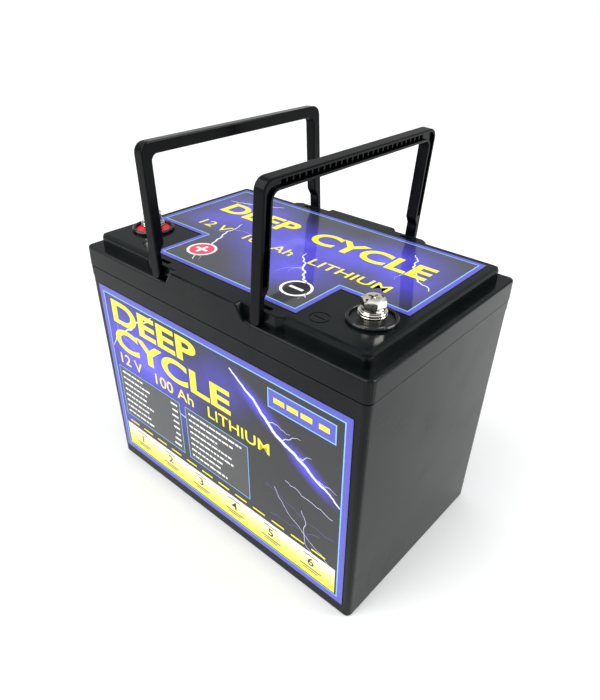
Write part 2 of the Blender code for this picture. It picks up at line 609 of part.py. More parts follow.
def make_clamps(plastic, steel, foam):
    """End plates, steel straps around the pack, and foam blocks that fill the ends of the case."""
    strap = (PACK_END + GAP + END_PLATE + GAP + STRAP_THICK / 2, CELL[1] / 2 + GAP + STRAP_THICK / 2)
    for i, z in enumerate(STRAP_Z):
        ring_prism(strap, STRAP_THICK, z - STRAP_WIDTH / 2, z + STRAP_WIDTH / 2,
                   ("lower_strap", "upper_strap")[i], steel)
    height = END_PLATE_TOP - CELL_Z
    filler_start = strap[0] + STRAP_THICK / 2 + GAP
    filler_end = CASE_FOOT[0] - CASE_WALL - 0.5 * MM
    for side, name in ((-1, "left"), (1, "right")):
        block((END_PLATE, CELL[1] - 3 * MM, height),
              (side * (PACK_END + GAP + END_PLATE / 2), 0, CELL_Z + height / 2),
              f"{name}_end_plate", plastic)
        block((filler_end - filler_start, CELL[1] - 20 * MM, CELL[2]),
              (side * (filler_start + filler_end) / 2, 0, CELL_Z + CELL[2] / 2),
              f"{name}_filler", foam)


def make_busbars(metal):
    """Three links that put the cells in series, from side to side in turn."""
    low = CELL_TOP + POLE_HEIGHT + GAP
    for i in range(3):
        side = 1 if i % 2 == 0 else -1
        prism(rectangle(BUSBAR[0] / 2, BUSBAR[1] / 2, 4 * MM, 3), low, low + BUSBAR[2],
              f"busbar_{i + 1}", metal, location=((i - 1) * PITCH, side * POLE_Y, 0))


def make_electronics(board, metal, dark):
    """Insulating tray, heat plate, protection board, wireless board and temperature probe."""
    half_x = PACK_END + END_PLATE
    front = TRAY_FRONT
    corners = [(half_x, front), (half_x, 72 * MM), (-half_x, 72 * MM), (-half_x, front),
               (-48 * MM, front), (-48 * MM, -70 * MM), (48 * MM, -70 * MM), (48 * MM, front)]
    prism(rounded(corners, 3 * MM, 2), TRAY_Z, TRAY_Z + TRAY_THICK, "bms_tray", dark)

    plate_z = TRAY_Z + TRAY_THICK + GAP
    block((150 * MM, 76 * MM, 5 * MM), (0, BOARD_Y, plate_z + 2.5 * MM), "bms_heat_plate", metal)
    board_z = plate_z + 5 * MM + GAP
    pcb = block((146 * MM, 72 * MM, 1.6 * MM), (0, BOARD_Y, board_z + 0.8 * MM), "bms_board", board)
    parts = []
    for i in range(8):
        x = (i - 3.5) * 14 * MM
        parts.append(block((9 * MM, 11 * MM, 5.6 * MM), (x - 8 * MM, BOARD_Y - 20 * MM, board_z + 3.8 * MM),
                           f"bms_switch_{i}"))
    for i in range(3):
        parts.append(prism(circle(5 * MM, 16), board_z + 1 * MM, board_z + 13 * MM, f"bms_capacitor_{i}",
                           location=((i - 1) * 14 * MM, BOARD_Y + 8 * MM, 0)))
    parts.append(block((26 * MM, 7 * MM, 8.6 * MM), (-48 * MM, BOARD_Y + 31 * MM, board_z + 5.2 * MM),
                       "bms_socket"))
    for i, y in enumerate((-26 * MM, 4 * MM)):
        parts.append(block((9 * MM, 9 * MM, 2.6 * MM), (57 * MM, BOARD_Y + y, board_z + 2.3 * MM),
                           f"bms_pad_{i}"))
    combine(pcb, parts, "UNION")
    block((26 * MM, 16 * MM, 2.2 * MM), (50 * MM, BOARD_Y + 26 * MM, board_z + 1.6 * MM + GAP + 1.1 * MM),
          "wireless_board", dark)
    block((10 * MM, 6 * MM, 2.5 * MM), (-PITCH / 2, 0, CELL_TOP + GAP + 1.25 * MM), "temperature_probe",
          dark)


def make_lug(name, metal, hole, z, towards, bore_r, barrel_z):
    """Flat cable lug: an eye at hole, and a barrel about height barrel_z that leaves from it."""
    direction = Vector(towards).normalized()
    eye = 9.5 * MM if bore_r == 0 else 11.5 * MM
    lug = prism(rectangle(eye, eye, eye * 0.6, 4), z, z + 2.4 * MM, name, metal, location=(*hole, 0))
    neck = Vector(hole) + direction * (eye - 1 * MM + 6 * MM)
    barrel = block((12 * MM, 11 * MM, 9 * MM), (neck.x, neck.y, barrel_z), f"{name}_barrel")
    barrel.rotation_euler = (0, 0, math.atan2(direction.y, direction.x))
    combine(lug, [barrel], "UNION")
    if bore_r > 0:
        bore = prism(circle(bore_r, 24), z - 1 * MM, z + 4 * MM, f"{name}_eye", location=(*hole, 0))
        combine(lug, [bore])
    mouth = Vector(hole) + direction * (eye + 11 * MM + 2 * GAP)
    return Vector((mouth.x, mouth.y, barrel_z))


def smooth_path(points, count):
    """Points evenly spread along a smooth curve through the given ones."""
    points = [Vector(p) for p in points]
    ends = [points[0] * 2 - points[1], *points, points[-1] * 2 - points[-2]]
    path = []
    for k in range(count):
        t = k / (count - 1) * (len(points) - 1)
        i = min(int(t), len(points) - 2)
        a, b, c, d = ends[i:i + 4]
        t -= i
        path.append(0.5 * (2 * b + (c - a) * t + (2 * a - 5 * b + 4 * c - d) * t ** 2
                           + (3 * b - 3 * c + d - a) * t ** 3))
    return path


def make_cable(name, mat, points, radius=CABLE_R, count=22):
    """Cable as a curve with a round bevel and filled ends."""
    curve = bpy.data.curves.new(name, "CURVE")
    curve.dimensions = "3D"
    curve.bevel_depth = radius
    curve.bevel_resolution = 2
    curve.use_fill_caps = True
    path = smooth_path(points, count)
    spline = curve.splines.new("POLY")
    spline.points.add(len(path) - 1)
    for point, place in zip(spline.points, path):
        point.co = (*place, 1.0)
    curve.materials.append(mat)
    obj = bpy.data.objects.new(name, curve)
    bpy.context.scene.collection.objects.link(obj)


def make_cables(metal, red, black, white):
    """Lugs and the whole run of each heavy cable, and the sense cable of the cells."""
    pole_z = CELL_TOP + POLE_HEIGHT + GAP
    lug_z = INSERT_FLANGE_Z[0] - 2.4 * MM - GAP
    first, last = -1.5 * PITCH, 1.5 * PITCH
    terminal = TERMINAL_X, TERMINAL_Y

    above, below = pole_z + 4.5 * MM, lug_z + 2.4 * MM - 4.5 * MM

    low = make_lug("positive_cell_lug", metal, (first, -POLE_Y), pole_z, (0, 1), 0, above)
    high = make_lug("positive_terminal_lug", metal, (-terminal[0], terminal[1]), lug_z, (0, 1),
                    HUB_R + GAP, below)
    make_cable("positive_cable", red, [
        low, low + Vector((0, 3 * MM, 0)), low + Vector((0, 7 * MM, 1 * MM)),
        low + Vector((-1 * MM, 14 * MM, 10 * MM)),
        (first - 12 * MM, -12 * MM, 176 * MM), (first - 24 * MM, 2 * MM, 190 * MM),
        high + Vector((0, 11 * MM, 0)), high + Vector((0, 4 * MM, 0)), high])

    low = make_lug("negative_cell_lug", metal, (last, -POLE_Y), pole_z, (0, 1), 0, above)
    board_z = TRAY_Z + TRAY_THICK + 2 * GAP + 5 * MM + 1.6 * MM
    pad = Vector((56 * MM, BOARD_Y - 26 * MM, board_z + 2.8 * MM + CABLE_R + GAP))
    make_cable("pack_negative_cable", black, [
        low, low + Vector((0, 3 * MM, 0)), low + Vector((0, 7 * MM, 1 * MM)),
        low + Vector((1 * MM, 13 * MM, 8 * MM)),
        low + Vector((1 * MM, 16 * MM, 20 * MM)), pad + Vector((16 * MM, -6 * MM, 7 * MM)),
        pad + Vector((8 * MM, -1 * MM, 1.5 * MM)), pad])

    high = make_lug("negative_terminal_lug", metal, terminal, lug_z, (0, 1), HUB_R + GAP, below)
    pad = Vector((58 * MM, BOARD_Y + 4 * MM, board_z + 2.8 * MM + CABLE_R + GAP))
    make_cable("negative_cable", black, [
        pad, pad + Vector((9 * MM, 0, 2.5 * MM)), pad + Vector((20 * MM, 1 * MM, 10 * MM)),
        (92 * MM, 34 * MM, 182 * MM),
        high + Vector((0, 11 * MM, 0)), high + Vector((0, 4 * MM, 0)), high])

    plug = Vector((-48 * MM, BOARD_Y + 34.5 * MM + GAP, board_z + 4 * MM))
    make_cable("sense_cable", white, [
        plug, plug + Vector((0, 7 * MM, -1 * MM)), (-48 * MM, 75.4 * MM, 152 * MM),
        (-46 * MM, 74 * MM, 144 * MM), (-40 * MM, 66 * MM, 139.8 * MM)], 1.5 * MM, 24)


# ---- Assembly ------------------------------------------------------------------------------------
def main():
    for obj in list(bpy.data.objects):
        bpy.data.objects.remove(obj, do_unlink=True)

    case_plastic = material("case_plastic", (0.018, 0.020, 0.021), 0.22)
    handle_plastic = material("handle_plastic", (0.014, 0.016, 0.017), 0.25)
    collar_plastic = material("collar_plastic", (0.012, 0.013, 0.014), 0.30)
    red_disc = material("red_disc", (0.85, 0.01, 0.03), 0.35)
    black_disc = material("black_disc", (0.015, 0.015, 0.016), 0.35)
    film = material("label_film", (0.16, 0.15, 0.72), 0.25)
    plated = material("plated_steel", (0.78, 0.77, 0.74), 0.15, 1.0)
    brass = material("tinned_brass", (0.75, 0.70, 0.58), 0.30, 1.0)
    rubber = material("seal_rubber", (0.03, 0.03, 0.03), 0.7)
    cell_skin = material("cell_skin", (0.05, 0.16, 0.45), 0.4)
    foam = material("foam", (0.12, 0.12, 0.13), 0.9)
    fibre_board = material("fibre_board", (0.55, 0.52, 0.42), 0.7)
    strap_steel = material("strap_steel", (0.62, 0.63, 0.65), 0.35, 1.0)
    aluminium = material("aluminium", (0.80, 0.81, 0.82), 0.35, 1.0)
    circuit_board = material("circuit_board", (0.02, 0.18, 0.07), 0.45)
    dark_plastic = material("dark_plastic", (0.03, 0.03, 0.035), 0.5)
    red_cable = material("red_cable", (0.65, 0.02, 0.02), 0.45)
    black_cable = material("black_cable", (0.02, 0.02, 0.02), 0.45)
    white_cable = material("white_cable", (0.75, 0.75, 0.72), 0.45)

    make_case(case_plastic)
    make_lid(case_plastic)
    make_seal(rubber)
    make_handles(handle_plastic)
    make_top_label(film)
    make_front_label(film)

    washer_z = HUB_TOP + GAP
    upper_z = washer_z + WASHER_THICK + GAP
    spring_z = upper_z + WASHER_THICK + GAP
    head_z = spring_z + SPRING_THICK + GAP
    for side, x in (("positive", -1), ("negative", 1)):
        make_collar(f"{side}_collar", x, collar_plastic)
        make_disc(f"{side}_disc", x, red_disc if x < 0 else black_disc)
        make_insert(f"{side}_insert", x, brass)
        make_nut(f"{side}_insert_nut", x, brass)
        make_washer(f"{side}_lower_washer", x, plated, washer_z)
        make_washer(f"{side}_upper_washer", x, plated, upper_z)
        make_spring_washer(f"{side}_spring_washer", x, plated, spring_z)
        make_bolt(f"{side}_bolt", x, plated, head_z)

    make_cells(cell_skin, foam, fibre_board)
    make_clamps(dark_plastic, strap_steel, foam)
    make_busbars(aluminium)
    make_electronics(circuit_board, aluminium, fibre_board)
    make_cables(brass, red_cable, black_cable, white_cable)


main()
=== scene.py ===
"""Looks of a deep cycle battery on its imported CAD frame. Metres, +Z up, label side towards -Y."""

import json
import math
import random

import bmesh
import bpy
from mathutils import Matrix, Vector


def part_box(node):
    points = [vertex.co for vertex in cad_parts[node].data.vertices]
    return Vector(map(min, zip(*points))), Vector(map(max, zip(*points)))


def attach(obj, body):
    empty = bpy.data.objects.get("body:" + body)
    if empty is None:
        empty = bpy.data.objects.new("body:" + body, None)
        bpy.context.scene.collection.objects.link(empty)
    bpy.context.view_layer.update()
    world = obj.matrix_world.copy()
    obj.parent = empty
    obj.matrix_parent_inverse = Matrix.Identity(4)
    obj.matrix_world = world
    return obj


MM = 0.001
LAYER_LIFT = 0.03        # mm between one printed layer and the next
CAP_HEIGHT = 0.69        # height of a capital as a share of the font size
EDGE_GAP = 0.15          # mm of bare film outside the printed frame
FLOOR_DROP = 0.0001      # m below the foot, so that floor and foot do not share a plane
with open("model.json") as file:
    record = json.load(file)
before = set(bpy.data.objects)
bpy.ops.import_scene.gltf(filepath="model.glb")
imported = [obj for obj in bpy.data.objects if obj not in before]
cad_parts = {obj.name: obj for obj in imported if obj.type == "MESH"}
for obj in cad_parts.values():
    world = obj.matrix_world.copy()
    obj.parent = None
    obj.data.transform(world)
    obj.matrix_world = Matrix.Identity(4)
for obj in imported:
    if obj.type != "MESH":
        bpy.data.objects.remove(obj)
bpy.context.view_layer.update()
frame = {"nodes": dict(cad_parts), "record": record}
nodes = frame["nodes"]


# ---- Shader helpers ------------------------------------------------------------------------------
def new_material(name, colour, roughness, metallic=0.0, coat=0.0, coat_roughness=0.1, ior=1.5):
    mat = bpy.data.materials.new(name)
    mat.use_nodes = True
    shader = mat.node_tree.nodes["Principled BSDF"]
    shader.inputs["Base Color"].default_value = (*colour, 1)
    shader.inputs["Roughness"].default_value = roughness
    shader.inputs["Metallic"].default_value = metallic
    shader.inputs["Coat Weight"].default_value = coat
    shader.inputs["Coat Roughness"].default_value = coat_roughness
    shader.inputs["IOR"].default_value = ior
    mat.diffuse_color = (*colour, 1)
    return mat, mat.node_tree, shader


def node(tree, kind, **settings):
    made = tree.nodes.new(kind)
    for key, value in settings.items():
        setattr(made, key, value)
    return made


def place_of(tree):
    return node(tree, "ShaderNodeTexCoord").outputs["Object"]


def noise(tree, where, scale, detail=3.0, roughness=0.5):
    made = node(tree, "ShaderNodeTexNoise")
    made.inputs["Scale"].default_value = scale
    made.inputs["Detail"].default_value = detail
    made.inputs["Roughness"].default_value = roughness
    tree.links.new(where, made.inputs["Vector"])
    return made.outputs["Fac"]


def spread(tree, value, low, high, start=0.3, end=0.7):
    made = node(tree, "ShaderNodeMapRange")
    for key, number in (("From Min", start), ("From Max", end), ("To Min", low), ("To Max", high)):
        made.inputs[key].default_value = number
    tree.links.new(value, made.inputs["Value"])
    return made.outputs["Result"]


def tones(tree, value, *stops):
    made = node(tree, "ShaderNodeValToRGB")
    ramp = made.color_ramp
    while len(ramp.elements) < len(stops):
        ramp.elements.new(0.5)
    for element, (at, colour) in zip(ramp.elements, stops):
        element.position = at
        element.color = (*colour, 1)
    tree.links.new(value, made.inputs["Fac"])
    return made.outputs["Color"]


def bump(tree, shader, height, distance, strength=1.0):
    made = node(tree, "ShaderNodeBump")
    made.inputs["Strength"].default_value = strength
    made.inputs["Distance"].default_value = distance
    tree.links.new(height, made.inputs["Height"])
    tree.links.new(made.outputs["Normal"], shader.inputs["Normal"])


def moulded(name, colour, rough, grain=1500.0, depth=0.00002, worn=0.05, specular_ior=1.5):
    """Moulded plastic: fine grain, faint flow marks and uneven gloss."""
    mat, tree, shader = new_material(name, colour, sum(rough) / 2, ior=specular_ior)
    where = place_of(tree)
    fine = noise(tree, where, grain, 2.0)
    broad = noise(tree, where, 22.0, 4.0)
    lift = tuple(c + worn * (0.25 + c) * 0.12 for c in colour)
    tree.links.new(tones(tree, broad, (0.35, colour), (0.7, lift)), shader.inputs["Base Color"])
    tree.links.new(spread(tree, broad, *rough), shader.inputs["Roughness"])
    bump(tree, shader, fine, depth, 0.5)
    return mat


def metal(name, colour, rough, brushed=(1.0, 1.0, 1.0), grain=900.0, depth=0.000006):
    mat, tree, shader = new_material(name, colour, sum(rough) / 2, metallic=1.0)
    stretch = node(tree, "ShaderNodeMapping")
    stretch.inputs["Scale"].default_value = brushed
    tree.links.new(place_of(tree), stretch.inputs["Vector"])
    lines = noise(tree, stretch.outputs["Vector"], grain, 3.0)
    stain = noise(tree, place_of(tree), 160.0, 3.0)
    dull = tuple(c * 0.78 for c in colour)
    tree.links.new(tones(tree, stain, (0.4, colour), (0.75, dull)), shader.inputs["Base Color"])
    tree.links.new(spread(tree, lines, *rough), shader.inputs["Roughness"])
    bump(tree, shader, lines, depth, 0.4)
    return mat


def ink(name, colour, roughness=0.32):
    """Printed colour on film: slightly uneven density under a clear face."""
    mat, tree, shader = new_material(name, colour, roughness, coat=0.5, coat_roughness=0.025, ior=1.3)
    density = noise(tree, place_of(tree), 700.0, 2.0)
    thin = tuple(c * 0.9 for c in colour)
    tree.links.new(tones(tree, density, (0.35, thin), (0.65, colour)), shader.inputs["Base Color"])
    return mat


def label_field(name, axes, glows, dark, violet, gloss):
    """Charcoal film with violet clouds; each glow is (s, t, half_s, half_t, turn, weight) in millimetres."""
    mat, tree, shader = new_material(name, dark, 0.34, coat=gloss, coat_roughness=0.02, ior=1.3)
    where = place_of(tree)
    split = node(tree, "ShaderNodeSeparateXYZ")
    join = node(tree, "ShaderNodeCombineXYZ")
    tree.links.new(where, split.inputs[0])
    for socket, axis in zip(("X", "Y"), axes):
        tree.links.new(split.outputs[axis], join.inputs[socket])
    total = None
    for s, t, half_s, half_t, turn, weight in glows:
        at = node(tree, "ShaderNodeMapping", vector_type="TEXTURE")
        at.inputs["Location"].default_value = (s * MM, t * MM, 0)
        at.inputs["Rotation"].default_value = (0, 0, math.radians(turn))
        at.inputs["Scale"].default_value = (half_s * MM, half_t * MM, 1)
        tree.links.new(join.outputs[0], at.inputs["Vector"])
        far = node(tree, "ShaderNodeVectorMath", operation="LENGTH")
        tree.links.new(at.outputs[0], far.inputs[0])
        fade = node(tree, "ShaderNodeMapRange", interpolation_type="SMOOTHSTEP")
        fade.inputs["To Min"].default_value = weight
        fade.inputs["To Max"].default_value = 0.0
        tree.links.new(far.outputs["Value"], fade.inputs["Value"])
        if total is None:
            total = fade.outputs["Result"]
        else:
            add = node(tree, "ShaderNodeMath", operation="ADD")
            tree.links.new(total, add.inputs[0])
            tree.links.new(fade.outputs["Result"], add.inputs[1])
            total = add.outputs[0]
    cloud = spread(tree, noise(tree, where, 38.0, 5.0, 0.6), 0.72, 1.18)
    mix = node(tree, "ShaderNodeMath", operation="MULTIPLY")
    tree.links.new(total, mix.inputs[0])
    tree.links.new(cloud, mix.inputs[1])
    middle = tuple(0.55 * a + 0.45 * b for a, b in zip(dark, violet))
    bright = tuple(min(1.0, c * 1.25 + 0.03) for c in violet)
    colour = tones(tree, mix.outputs[0], (0.0, dark), (0.4, middle), (0.8, violet), (1.0, bright))
    tree.links.new(colour, shader.inputs["Base Color"])
    bump(tree, shader, noise(tree, where, 60.0, 2.0), 0.00003, 0.15)
    return mat


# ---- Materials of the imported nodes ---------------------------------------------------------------
VIOLET = (0.075, 0.06, 0.62)
CHARCOAL = (0.022, 0.024, 0.026)
LOOKS = {
    "case_plastic": moulded("black_case", (0.0020, 0.0036, 0.0038), (0.10, 0.30),
                            grain=1100.0, depth=0.000006, worn=0.12, specular_ior=1.23),
    "handle_plastic": moulded("black_handle", (0.0010, 0.0014, 0.0018), (0.12, 0.2),
                              grain=1400.0, depth=0.000005, worn=0.02, specular_ior=1.19),
    "collar_plastic": moulded("black_collar", (0.003, 0.0035, 0.004), (0.22, 0.32),
                              grain=1700.0, depth=0.000008, worn=0.02, specular_ior=1.42),
    "red_disc": moulded("red_plate", (0.82, 0.006, 0.018), (0.3, 0.4), 1200.0, 0.00001),
    "black_disc": moulded("black_plate", (0.008, 0.008, 0.009), (0.35, 0.48), 1200.0, 0.00001),
    "plated_steel": metal("bright_nickel", (0.86, 0.83, 0.76), (0.07, 0.15), (1, 1, 1), 500.0, 0.0000015),
    "tinned_brass": metal("tinned_brass", (0.74, 0.69, 0.58), (0.2, 0.36)),
    "seal_rubber": moulded("black_seal", (0.02, 0.02, 0.02), (0.6, 0.75), 900.0),
    "cell_skin": moulded("blue_cell_film", (0.02, 0.09, 0.36), (0.25, 0.4), 500.0),
    "foam": moulded("dark_foam", (0.06, 0.06, 0.065), (0.85, 0.95), 700.0, 0.0002),
    "fibre_board": moulded("fibre_board", (0.42, 0.39, 0.28), (0.5, 0.65), 1300.0, 0.00003),
    "strap_steel": metal("galvanised_strap", (0.55, 0.56, 0.58), (0.28, 0.45), (1, 12, 12)),
    "aluminium": metal("plain_aluminium", (0.80, 0.81, 0.82), (0.22, 0.38), (1, 14, 14)),
    "circuit_board": moulded("green_board", (0.01, 0.13, 0.045), (0.3, 0.42), 900.0),
    "dark_plastic": moulded("dark_fitting", (0.015, 0.015, 0.017), (0.38, 0.5), 1300.0),
    "red_cable": moulded("red_insulation", (0.5, 0.01, 0.012), (0.38, 0.5), 700.0),
    "black_cable": moulded("black_insulation", (0.012, 0.012, 0.012), (0.38, 0.5), 700.0),
    "white_cable": moulded("white_insulation", (0.65, 0.65, 0.62), (0.4, 0.52), 700.0),
}
# Label glows in each label's own millimetres: along X, then up the label.
FRONT_GLOWS = [(-92, 128, 60, 62, 0, 0.95), (-46, 120, 52, 44, 0, 0.75), (10, 140, 40, 34, 0, 0.45),
               (48, 140, 36, 11, -33, 0.9), (90, 112, 34, 11, -33, 0.95), (-112, 60, 26, 40, 0, 0.5),
               (-28, 84, 24, 34, 0, 0.3)]
TOP_GLOWS = [(-4, 6, 84, 56, 0, 0.95), (-72, 34, 60, 46, 0, 0.85), (66, 30, 62, 46, 0, 0.8),
             (24, -32, 54, 34, 15, 0.6), (92, 4, 36, 34, 0, 0.5), (-86, -2, 34, 26, 0, 0.5)]
FRONT_FIELD = label_field("front_film", ("X", "Z"), FRONT_GLOWS, CHARCOAL, VIOLET, 0.3)
TOP_FIELD = label_field("top_film", ("X", "Y"), TOP_GLOWS, CHARCOAL, VIOLET, 1.0)
INK = {
    "violet": ink("ink_violet", (0.085, 0.09, 0.50)),
    "sky": ink("ink_sky", (0.24, 0.50, 0.93)),
    "yellow": ink("ink_yellow", (0.93, 0.84, 0.04)),
    "white": ink("ink_white", (0.95, 0.95, 0.95)),
    "lilac": ink("ink_lilac", (0.60, 0.62, 0.93)),
    "dim": ink("ink_dim", (0.085, 0.075, 0.30)),
    "panel": ink("ink_panel", (0.048, 0.052, 0.055)),
    "red": ink("ink_red", (0.78, 0.045, 0.085)),
    "black": ink("ink_black", (0.012, 0.012, 0.014)),
}
for entry in frame["record"]["subparts"]:
    look = LOOKS.get(entry["material_slot"])
    if entry["node"] == "front_label":
        look = FRONT_FIELD
    if entry["node"] == "top_label":
        look = TOP_FIELD
    part = nodes[entry["node"]]
    part.data.materials.clear()
    part.data.materials.append(look)


# ---- Printing on a label -------------------------------------------------------------------------
class Print:
    """Flat shapes in a label's own millimetres, one thin mesh for each ink."""

    def __init__(self, name, surface):
        self.name, self.surface, self.shapes = name, surface, {}

    def add(self, colour, points, faces, layer=1):
        verts, polys = self.shapes.setdefault((colour, layer), ([], []))
        base = len(verts)
        verts.extend(points)
        polys.extend([tuple(base + i for i in face) for face in faces])

    def fill(self, colour, outline, layer=1):
        self.add(colour, outline, [tuple(range(len(outline)))], layer)

    def rect(self, colour, s0, t0, s1, t1, layer=1):
        self.fill(colour, [(s0, t0), (s1, t0), (s1, t1), (s0, t1)], layer)

    def ring(self, colour, outer, inner, layer=1):
        n = len(outer)
        self.add(colour, outer + inner,
                 [(i, (i + 1) % n, n + (i + 1) % n, n + i) for i in range(n)], layer)

    def ribbon(self, colour, line, widths, layer=1):
        left, right = [], []
        for i, (s, t) in enumerate(line):
            a, b = line[max(i - 1, 0)], line[min(i + 1, len(line) - 1)]
            ds, dt = b[0] - a[0], b[1] - a[1]
            size = math.hypot(ds, dt) or 1.0
            half = widths[i] / 2
            left.append((s - dt / size * half, t + ds / size * half))
            right.append((s + dt / size * half, t - ds / size * half))
        n = len(line)
        self.add(colour, left + right, [(i + 1, i, n + i, n + i + 1) for i in range(n - 1)], layer)

    def text(self, colour, words, s, t, height, layer=2, width=1.0, align="LEFT", weight=0.0):
        curve = bpy.data.curves.new("words", "FONT")
        curve.body, curve.size, curve.align_x, curve.offset = words, 1.0, align, weight
        maker = bpy.data.objects.new("words", curve)
        bpy.context.scene.collection.objects.link(maker)
        bpy.context.view_layer.update()
        mesh = bpy.data.meshes.new_from_object(maker.evaluated_get(bpy.context.evaluated_depsgraph_get()))
        scale = height / CAP_HEIGHT
        points = [(s + v.co.x * scale * width, t + v.co.y * scale) for v in mesh.vertices]
        self.add(colour, points, [tuple(p.vertices) for p in mesh.polygons], layer)
        bpy.data.objects.remove(maker)
        bpy.data.curves.remove(curve)
        bpy.data.meshes.remove(mesh)

    def make(self, body="base"):
        for (colour, layer), (points, faces) in sorted(self.shapes.items()):
            mesh = bpy.data.meshes.new(f"{self.name}_{colour}_{layer}")
            mesh.from_pydata([self.surface(s, t, LAYER_LIFT * layer) for s, t in points], [], faces)
            mesh.materials.append(INK[colour])
            piece = bpy.data.objects.new(mesh.name, mesh)
            bpy.context.scene.collection.objects.link(piece)
            out = self.surface(0, 0, 1) - self.surface(0, 0, 0)
            form = bmesh.new()
            form.from_mesh(mesh)
            form.normal_update()
            bmesh.ops.reverse_faces(form, faces=[f for f in form.faces if f.normal.dot(out) < 0])
            form.to_mesh(mesh)
            form.free()
            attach(piece, body)


def circle(s, t, radius, count=56):
    turns = [2 * math.pi * i / count for i in range(count)]
    return [(s + radius * math.cos(turn), t + radius * math.sin(turn)) for turn in turns]


def frame_of(s0, t0, s1, t1):
    return [(s0, t0), (s1, t0), (s1, t1), (s0, t1)]


def inset(outline, by):
    """The outline moved inwards by a distance, corner by corner (outline runs anticlockwise)."""
    result, n = [], len(outline)
    for i, here in enumerate(outline):
        before, after = Vector(outline[i - 1]), Vector(outline[(i + 1) % n])
        at = Vector(here)
        a, b = (at - before).normalized(), (after - at).normalized()
        na, nb = Vector((-a.y, a.x)), Vector((-b.y, b.x))
        move = (na + nb) / max(1e-6, 1 + na.dot(nb))
        result.append(tuple(at + move * by))
    return result


def spark(seed, start, end, wander, depth=6):
    """A jagged line by halving: each new midpoint is pushed sideways by less than the last."""
    dice, line = random.Random(seed), [Vector(start), Vector(end)]
    for _ in range(depth):
        finer = [line[0]]
        for a, b in zip(line, line[1:]):
            side = Vector((a.y - b.y, b.x - a.x)).normalized()
            finer += [(a + b) / 2 + side * dice.uniform(-wander, wander), b]
        line, wander = finer, wander * 0.52
    return [tuple(p) for p in line]


def border(sheet, outline, violet_depth, sky_depth):
    """A violet frame round a label, then a thin line inside it."""
    sheet.ring("violet", inset(outline, EDGE_GAP), inset(outline, violet_depth), 2)
    sheet.ring("sky", inset(outline, violet_depth), inset(outline, sky_depth), 2)


def tapered(count, width):
    """Widths along a line: slim at both ends and full in the middle."""
    arcs = [math.pi * (0.08 + 0.84 * i / (count - 1)) for i in range(count)]
    return [width * (0.25 + 0.75 * math.sin(arc)) for arc in arcs]


def strike(sheet, seed, start, end, wander, width, forks):
    """One bolt of lightning with its forks."""
    line = spark(seed, start, end, wander)
    sheet.ribbon("lilac", line, tapered(len(line), width * 2.0), 1)
    sheet.ribbon("white", line, tapered(len(line), width), 2)
    dice = random.Random(seed + 99)
    for k in range(forks):
        i = dice.randrange(len(line) // 6, len(line) - 6)
        reach = dice.uniform(9, 22)
        turn = dice.uniform(-1.3, 1.3)
        run = Vector(end) - Vector(start)
        run.rotate(Matrix.Rotation(turn, 2))
        tip = Vector(line[i]) + run.normalized() * reach
        fork = spark(seed * 7 + k, line[i], tuple(tip), wander * 0.35, 4)
        widths = [width * 0.55 * (1 - 0.8 * j / len(fork)) for j in range(len(fork))]
        sheet.ribbon("lilac", fork, widths, 1)


def rows(sheet, s0, s1, top, pitch, count, height, seed, values=False, layer=3):
    """Rows of short bars in place of small print."""
    dice = random.Random(seed)
    for k in range(count):
        t, s = top - k * pitch, s0
        reach = s0 + (s1 - s0) * dice.uniform(0.38, 0.62 if values else 0.97)
        while s < reach - 1.5:
            word = min(dice.uniform(2.0, 6.5), reach - s)
            sheet.rect("white", s, t - height / 2, s + word, t + height / 2, layer)
            s += word + 0.9
        if values:
            sheet.rect("white", s1 - dice.uniform(5.0, 8.5), t - height / 2, s1, t + height / 2, layer)


# ---- Front label ---------------------------------------------------------------------------------
low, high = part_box("front_label")
front = nodes["front_label"].data
foot_y = min(v.co.y for v in front.vertices if v.co.z < low.z + 0.5 * MM)
head_y = min(v.co.y for v in front.vertices if v.co.z > high.z - 0.5 * MM)


def front_surface(s, t, lift):
    share = (t * MM - low.z) / (high.z - low.z)
    return Vector((s * MM, foot_y + (head_y - foot_y) * share - lift * MM, t * MM))


S0, S1, T0, T1 = low.x / MM, high.x / MM, low.z / MM, high.z / MM
sheet = Print("front_print", front_surface)
edge = frame_of(S0, T0, S1, T1)
border(sheet, edge, 4.6, 5.5)
strike(sheet, 21, (22, T1 - 12), (S1 - 6, 98), 7, 1.5, 5)
strike(sheet, 5, (S0 + 7, 118), (-58, T1 - 7), 8, 0.7, 3)
strike(sheet, 33, (-40, 92), (14, 74), 7, 0.6, 3)
for seed, start, end in ((3, (52, 78), (112, 66)), (4, (60, 80), (108, 40)), (8, (84, 74), (96, 34)),
                         (9, (56, 52), (100, 60)), (12, (70, 92), (110, 84))):
    twig = spark(seed, start, end, 6, 4)
    sheet.ribbon("dim" if seed % 2 else "lilac", twig, [0.45] * len(twig), 1)
sheet.text("yellow", "DEEP", S0 + 11, 143.5, 18.5, 4, 1.62, weight=0.03)
sheet.text("yellow", "CYCLE", S0 + 11, 119.5, 18.5, 4, 1.62, weight=0.03)
sheet.text("yellow", "12 V   100 Ah   LITHIUM", S0 + 11, 105, 9.5, 4, 1.18, weight=0.008)
for s0, s1, seed, values in ((S0 + 9, -36, 14, True), (-30, 36, 15, False)):
    box = frame_of(s0, 50, s1, 100)
    sheet.fill("panel", box, 2)
    sheet.ring("sky", box, inset(box, 0.6), 3)
    rows(sheet, s0 + 3.5, s1 - 3.5, 95, 5.7, 8, 1.7, seed, values)
tag = frame_of(56, 146, 110, 161)
sheet.fill("violet", tag, 2)
sheet.ring("sky", tag, inset(tag, 0.9), 3)
for s in (61, 72, 83, 97):
    sheet.rect("yellow", s, 151.5, s + (9 if s < 90 else 8), 155.5, 4)
DASHES, DASH_PITCH = 12, 18.4
